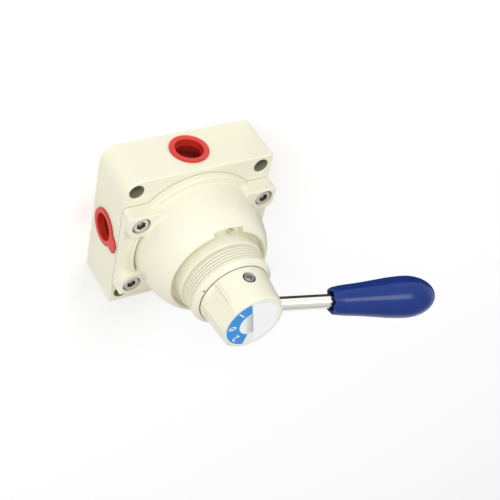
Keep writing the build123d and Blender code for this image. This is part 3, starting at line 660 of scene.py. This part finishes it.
# ---- lever rod ----------------------------------------------------------------------------------
# Hard-chromed steel bar with chamfered ends, seated in the hub and held by the set screw.
# It tilts up out of the hub and runs on into the grip.
LEVER_TILT = math.radians(15.0)
SET_SCREW_TO_LEVER = 1.7 * MM
ROD_R = 3.25 * MM
ROD_START = 8.2 * MM
ROD_END = 76.0 * MM
ROD_CHAMFER = 0.4 * MM
CHROME = (0.92, 0.89, 0.83)
CHROME_WARM = (0.96, 0.93, 0.87)
CHROME_SCALE = 80.0
CHROME_ROUGH = (0.12, 0.16)
CHROME_HAZE_SCALE = 120.0


def on_lever(x, y, z):
    """Points drawn along X from the valve axis, laid on the tilted lever line."""
    c, s = math.cos(LEVER_TILT), math.sin(LEVER_TILT)
    return np.stack([c * x - s * z, y, set_screw_z + SET_SCREW_TO_LEVER + s * x + c * z], axis=-1)


chrome, tree, shader, place = new_finish("hard_chrome", sum(CHROME_ROUGH) / 2, 1.0)
plating = drift(tree, noise(tree, place, CHROME_SCALE), CHROME, CHROME_WARM)
linked(tree, plating, shader.inputs["Base Color"])
linked(tree, spread(tree, noise(tree, place, CHROME_HAZE_SCALE), *CHROME_ROUGH), shader.inputs["Roughness"])
rod_rows = turned([(0.0, ROD_START), (ROD_R - ROD_CHAMFER, ROD_START), (ROD_R, ROD_START + ROD_CHAMFER),
                   (ROD_R, ROD_END - ROD_CHAMFER), (ROD_R - ROD_CHAMFER, ROD_END), (0.0, ROD_END)],
                  np.linspace(0.0, 2 * math.pi, 128, endpoint=False))
rod = skin("chrome_rod", on_lever(rod_rows[..., 2], rod_rows[..., 0], rod_rows[..., 1]), chrome, "lever")
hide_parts("lever_rod")


# ---- lever grip ---------------------------------------------------------------------------------
# Pear-shaped grip of blue glossy plastic moulded round the rod, with a rounded, notched lip,
# a fluted well where the rod goes in, and a faint mould seam down both sides.
GRIP_START = 42.0 * MM
GRIP_L = 52.5 * MM
GRIP_R = 9.85 * MM
GRIP_NOSE_L = 15.5 * MM
GRIP_FLUTES = 7
GRIP_FLUTE_DEPTH = 0.5 * MM
GRIP_FLUTE_SHARE = (0.9, 0.8, 0.7, 0.5, 0.4, 0.2)
GRIP_LIP_NOTCH = 0.7 * MM
GRIP_NOTCH_SHARE = (0.4, 0.7, 1.0, 1.0, 0.9, 0.7, 0.45, 0.2)
GRIP_SEAM_H = 0.05 * MM
GRIP_SEAM_W = 0.03
GRIP_SEAM_R = 6.4 * MM
GRIP_GLOSS = 0.31
GRIP_MOUTH = ((3.4, 3.27), (3.0, 3.5), (2.9, 4.3), (2.4, 4.55), (0.9, 4.7), (0.35, 4.85), (0.08, 5.15),
              (0.0, 5.45), (0.15, 5.8), (0.6, 6.15), (1.3, 6.37))
GRIP_FLANK = ((2.2, 6.47), (5.0, 6.9), (14.0, 7.7), (22.0, 8.6), (30.0, 9.5), (37.0, 9.85))


def smooth_line(knots, count):
    """Points on a smooth rising curve through (x, r) knots.

    It is a cubic between knots, whose slope at each knot is the harmonic mean of the slopes of the
    chords beside it.
    """
    x, r = np.array(knots).T
    chord = np.diff(r) / np.diff(x)
    inner = 2 * chord[:-1] * chord[1:] / (chord[:-1] + chord[1:])
    slope = np.concatenate([chord[:1], inner, [0.0]])
    at = np.linspace(x[0], x[-1], count)
    k = np.clip(np.searchsorted(x, at, side="right") - 1, 0, len(x) - 2)
    h = x[k + 1] - x[k]
    t = (at - x[k]) / h
    start = (1 + 2 * t) * (1 - t) ** 2 * r[k] + t * (1 - t) ** 2 * h * slope[k]
    return at, start + t * t * (3 - 2 * t) * r[k + 1] + t * t * (t - 1) * h * slope[k + 1]


mouth_x, mouth_r = MM * np.array(GRIP_MOUTH).T
flank_x, flank_r = (MM * v for v in smooth_line(GRIP_FLANK, 60))
nose = np.linspace(0.0, 0.5 * math.pi, 33)[1:]
nose_x = GRIP_L - GRIP_NOSE_L + GRIP_NOSE_L * np.sin(nose)
grip_x = GRIP_START + np.concatenate([mouth_x, flank_x, nose_x])[:, None]
grip_r = np.concatenate([mouth_r, flank_r, GRIP_R * np.cos(nose)])[:, None]
around = np.linspace(0.0, 2 * math.pi, 144, endpoint=False)[None, :]
seam = GRIP_SEAM_H * np.exp(-(np.sin(around) / GRIP_SEAM_W) ** 2) * (grip_r > GRIP_SEAM_R)
in_well = np.zeros_like(grip_r)
in_well[1:7, 0] = GRIP_FLUTE_SHARE
in_lip = np.zeros_like(grip_r)
in_lip[4:12, 0] = GRIP_NOTCH_SHARE
flutes = np.cos(GRIP_FLUTES * around)
grip_rr = grip_r + seam + GRIP_FLUTE_DEPTH * in_well * flutes
grip_xx = grip_x + GRIP_LIP_NOTCH * in_lip * (0.5 + 0.5 * flutes)
grip_skin = on_lever(grip_xx, grip_rr * np.cos(around), grip_rr * np.sin(around))
blue_plastic = moulded("blue_plastic", (0.005, 0.027, 0.185), (0.007, 0.034, 0.21), roughness=0.2,
                       grain=500.0, depth=0.02 * MM)
blue_plastic.node_tree.nodes["Principled BSDF"].inputs["Specular IOR Level"].default_value = GRIP_GLOSS
# in_well, which sets the depth of the flutes, also darkens the well as painted shade.
grip = skin("grip", grip_skin, blue_plastic, "lever", 60.0, in_well)
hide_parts("lever_grip")


# ---- dial label ---------------------------------------------------------------------------------
# Printed metal disc set in the end of the hub: silver middle, blue band opposite the lever with
# the three lever positions in white, and a plain white field on the lever's side.
PRINT_STEP = 0.03 * MM
LABEL_EDGE = 0.1 * MM
SILVER_R = 6.4 * MM
SILVER_SOFT = 0.1 * MM
SILVER = (0.92, 0.94, 0.95)
SILVER_SHADED = (0.44, 0.45, 0.47)
SHADE_WIDTH = 4.5 * MM
SHADE_FROM = 0.3
SHADE_TO = 0.7
RIM = (0.88, 0.90, 0.86)
RIM_PALE = (0.91, 0.93, 0.90)
RIM_SCALE = 300.0
FIELD_TURN = math.radians(12.7)
FIELD_R = 12.4 * MM
FIELD_SOFT = 0.15 * MM
FIELD_LINE_SOFT = 0.08 * MM
FIELD_WHITE = (0.97, 0.99, 0.98)
FOIL_SCALE = 900.0
FOIL_DEPTH = 0.01 * MM
FOIL_STRENGTH = 0.3
level = (1.0, 1.0, 0.0)
label_low, label_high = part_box("dial_label")
label_r = 0.5 * (label_high.x - label_low.x)
face_z = label_high.z - 2 * PRINT_STEP
label_angle = np.linspace(0.0, 2 * math.pi, 180, endpoint=False)
label_grid = turned([(0.0, label_low.z), (label_r, label_low.z), (label_r, face_z - LABEL_EDGE),
                     (label_r - LABEL_EDGE, face_z), (0.5 * label_r, face_z), (0.0, face_z)], label_angle)
dial_print, tree, shader, place = new_finish("dial_print", 0.3)
silver = ball_mask(tree, place, (0.0, 0.0, 0.0), SILVER_R, SILVER_SOFT, level)
in_field = ball_mask(tree, place, (0.0, 0.0, 0.0), FIELD_R, FIELD_SOFT, level)
across = vector_step(tree, "DOT_PRODUCT", place, (math.cos(FIELD_TURN), math.sin(FIELD_TURN), 0.0))
lever_side = spread(tree, across, 0.0, 1.0, -FIELD_LINE_SOFT, FIELD_LINE_SOFT)
field = number_step(tree, "MULTIPLY", in_field, lever_side)
# The silver middle darkens towards the white field as painted shade.
middle = drift(tree, spread(tree, across, SHADE_FROM, SHADE_TO, -SHADE_WIDTH, 0.0), SILVER, SILVER_SHADED)
rim = drift(tree, noise(tree, place, RIM_SCALE), RIM, RIM_PALE)
disc = tree.nodes.new("ShaderNodeMix")
disc.data_type = "RGBA"
linked(tree, silver, disc.inputs[0])
linked(tree, rim, disc.inputs[6])
linked(tree, middle, disc.inputs[7])
linked(tree, over(tree, disc.outputs[2], field, FIELD_WHITE), shader.inputs["Base Color"])
bumped(tree, shader, noise(tree, place, FOIL_SCALE), FOIL_DEPTH, FOIL_STRENGTH)
dial_face = skin("dial_face", label_grid, dial_print, "lever")
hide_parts("dial_label")

BAND_OUT = 13.3 * MM
BAND_IN = 6.9 * MM
BAND_FROM = math.radians(105.0)
BAND_TO = math.radians(258.0)
INK_GRAIN = 1500.0
INK_DEPTH = 0.005 * MM
blue_print = moulded("blue_print", (0.026, 0.30, 0.76), (0.024, 0.27, 0.70), 0.3, INK_GRAIN, INK_DEPTH)
share = np.linspace(0.0, 1.0, 64)[:, None]
band_angle = BAND_FROM + share * (BAND_TO - BAND_FROM)
corner = np.array([BAND_IN, BAND_OUT, BAND_OUT, BAND_IN])[None, :]
height = np.array([face_z, face_z, face_z + PRINT_STEP, face_z + PRINT_STEP])[None, :]
band = np.stack([corner * np.cos(band_angle), corner * np.sin(band_angle), height + 0 * band_angle], axis=2)
caps = [np.broadcast_to(end.mean(1, keepdims=True), end.shape) for end in (band[:1], band[-1:])]
dial_band = skin("dial_band", np.concatenate([caps[0], band, caps[1]]), blue_print, "lever", 20.0)

NUMBERS = (("1", 135.0), ("0", 180.0), ("2", 225.0))
NUMBER_R = 10.3 * MM
NUMBER_H = 5.2 * MM
NUMBER_STROKE = 0.08 * MM
white_print = moulded("white_print", (0.88, 0.91, 0.93), (0.84, 0.88, 0.9), 0.35, INK_GRAIN, INK_DEPTH)
for mark, azimuth in NUMBERS:
    letter = bpy.data.curves.new("number_" + mark, "FONT")
    letter.body = mark
    letter.size = NUMBER_H
    letter.align_x = "CENTER"
    letter.align_y = "CENTER"
    letter.extrude = 0.5 * PRINT_STEP
    letter.offset = NUMBER_STROKE
    drawn = bpy.data.objects.new("letter", letter)
    bpy.context.scene.collection.objects.link(drawn)
    mesh = bpy.data.meshes.new_from_object(drawn.evaluated_get(bpy.context.evaluated_depsgraph_get()))
    bpy.data.objects.remove(drawn)
    turn = math.radians(azimuth)
    spin = Matrix.Rotation(turn - 0.5 * math.pi, 4, "Z")
    at = Vector((NUMBER_R * math.cos(turn), NUMBER_R * math.sin(turn), face_z + 1.5 * PRINT_STEP))
    mesh.transform(Matrix.Translation(at) @ spin)
    number = bpy.data.objects.new("number_" + mark, mesh)
    bpy.context.scene.collection.objects.link(number)
    dressed(number, white_print)
    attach(number, "lever")


# ---- port plugs ---------------------------------------------------------------------------------
# Soft red transit caps pushed into the ports: a flange, a hollow skirt with a ledge inside,
# and on two of them a pull tab that runs out of the flange towards the bonnet.
# Painted shade darkens the well, the edge of the flange and its underside.
PORT_Z = 13.0 * MM
PLUG_FLANGE_R = 9.35 * MM
PLUG_FLANGE_T = 0.9 * MM
PLUG_SKIRT_R = 8.5 * MM
PLUG_BORE_R = 6.7 * MM
PLUG_LEDGE_W = 0.7 * MM
PLUG_LEDGE_DEPTH = 3.0 * MM
PLUG_DEPTH = 8.4 * MM
PLUG_FLOOR = 1.2 * MM
PLUG_EDGE = 0.25 * MM
PLUG_LIFT = 0.02 * MM
PLUG_UNDERCUT = 0.1 * MM
PLUG_INNER_FLAT = 1.1 * MM
TAB_REACH = 13.4 * MM
TAB_RISE = (-22.0, 7.0)
TAB_FALL = (26.0, 45.0)
RED_GLOW = 0.15
RED_GLOW_RADIUS = (1.0, 0.2, 0.1)
RED_GLOW_DEPTH = 1.2 * MM
red_plastic = moulded("red_plastic", (0.71, 0.037, 0.020), (0.66, 0.026, 0.015), roughness=0.42, grain=700.0,
                      depth=0.03 * MM)
red_shader = red_plastic.node_tree.nodes["Principled BSDF"]
red_shader.inputs["Subsurface Weight"].default_value = RED_GLOW
red_shader.inputs["Subsurface Radius"].default_value = RED_GLOW_RADIUS
red_shader.inputs["Subsurface Scale"].default_value = RED_GLOW_DEPTH


def smooth_step(value, start, end):
    """0 before start, 1 after end, and the cubic 3 t t - 2 t t t between them."""
    t = np.clip((value - start) / (end - start), 0.0, 1.0)
    return t * t * (3 - 2 * t)


def plug(name, body, azimuth, tab):
    """Rows of (radius, distance out of the port's face, painted shade) turned about the port's axis.

    The flange rows grow by a bump of the angle from +Z, a smooth rise times a smooth fall,
    which is the tab.  The whole is then turned about the valve axis to its port.
    """
    angle = np.linspace(-180.0, 180.0, 288, endpoint=False)
    bump = smooth_step(angle, *TAB_RISE) * (1 - smooth_step(angle, *TAB_FALL)) if tab else 0.0 * angle
    flange = PLUG_FLANGE_R + (TAB_REACH - PLUG_FLANGE_R) * bump
    edge, top, ledge_r = PLUG_EDGE, PLUG_FLANGE_T, PLUG_BORE_R - PLUG_LEDGE_W
    rows = [(0.0, -PLUG_DEPTH, 0), (PLUG_SKIRT_R - edge, -PLUG_DEPTH, 0),
            (PLUG_SKIRT_R, -PLUG_DEPTH + edge, 0), (PLUG_SKIRT_R, PLUG_LIFT, 0.3),
            (flange - PLUG_UNDERCUT, PLUG_LIFT, 0.8), (flange, 0.3 * top, 0.45), (flange, top - edge, 0.2),
            (flange - 0.3 * edge, top - 0.3 * edge, 0), (flange - edge, top, 0),
            (PLUG_BORE_R + PLUG_INNER_FLAT, top, 0), (PLUG_BORE_R + edge, top, 0),
            (PLUG_BORE_R, top - edge, 0.1), (PLUG_BORE_R, top - PLUG_LEDGE_DEPTH, 0.35),
            (ledge_r, top - PLUG_LEDGE_DEPTH, 0.2), (ledge_r, top - PLUG_LEDGE_DEPTH - edge, 0.6),
            (ledge_r, PLUG_FLOOR - PLUG_DEPTH, 0.9), (0.0, PLUG_FLOOR - PLUG_DEPTH, 0.9)]
    grid = turned(rows, np.radians(angle))
    out, up, side = half + grid[..., 2], PORT_Z + grid[..., 0], grid[..., 1]
    c, s = math.cos(math.radians(azimuth)), math.sin(math.radians(azimuth))
    placed = np.stack([c * out - s * side, s * out + c * side, up], axis=2)
    piece = skin(name, placed, red_plastic, body, 40.0, np.array([row[2] for row in rows])[:, None])
    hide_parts("port_" + body)


PLUGS = (("plug_px", 0.0, True), ("plug_py", 90.0, False),
         ("plug_nx", 180.0, True), ("plug_ny", 270.0, False))
for body, azimuth, tab in PLUGS:
    plug("cap_" + body, body, azimuth, tab)
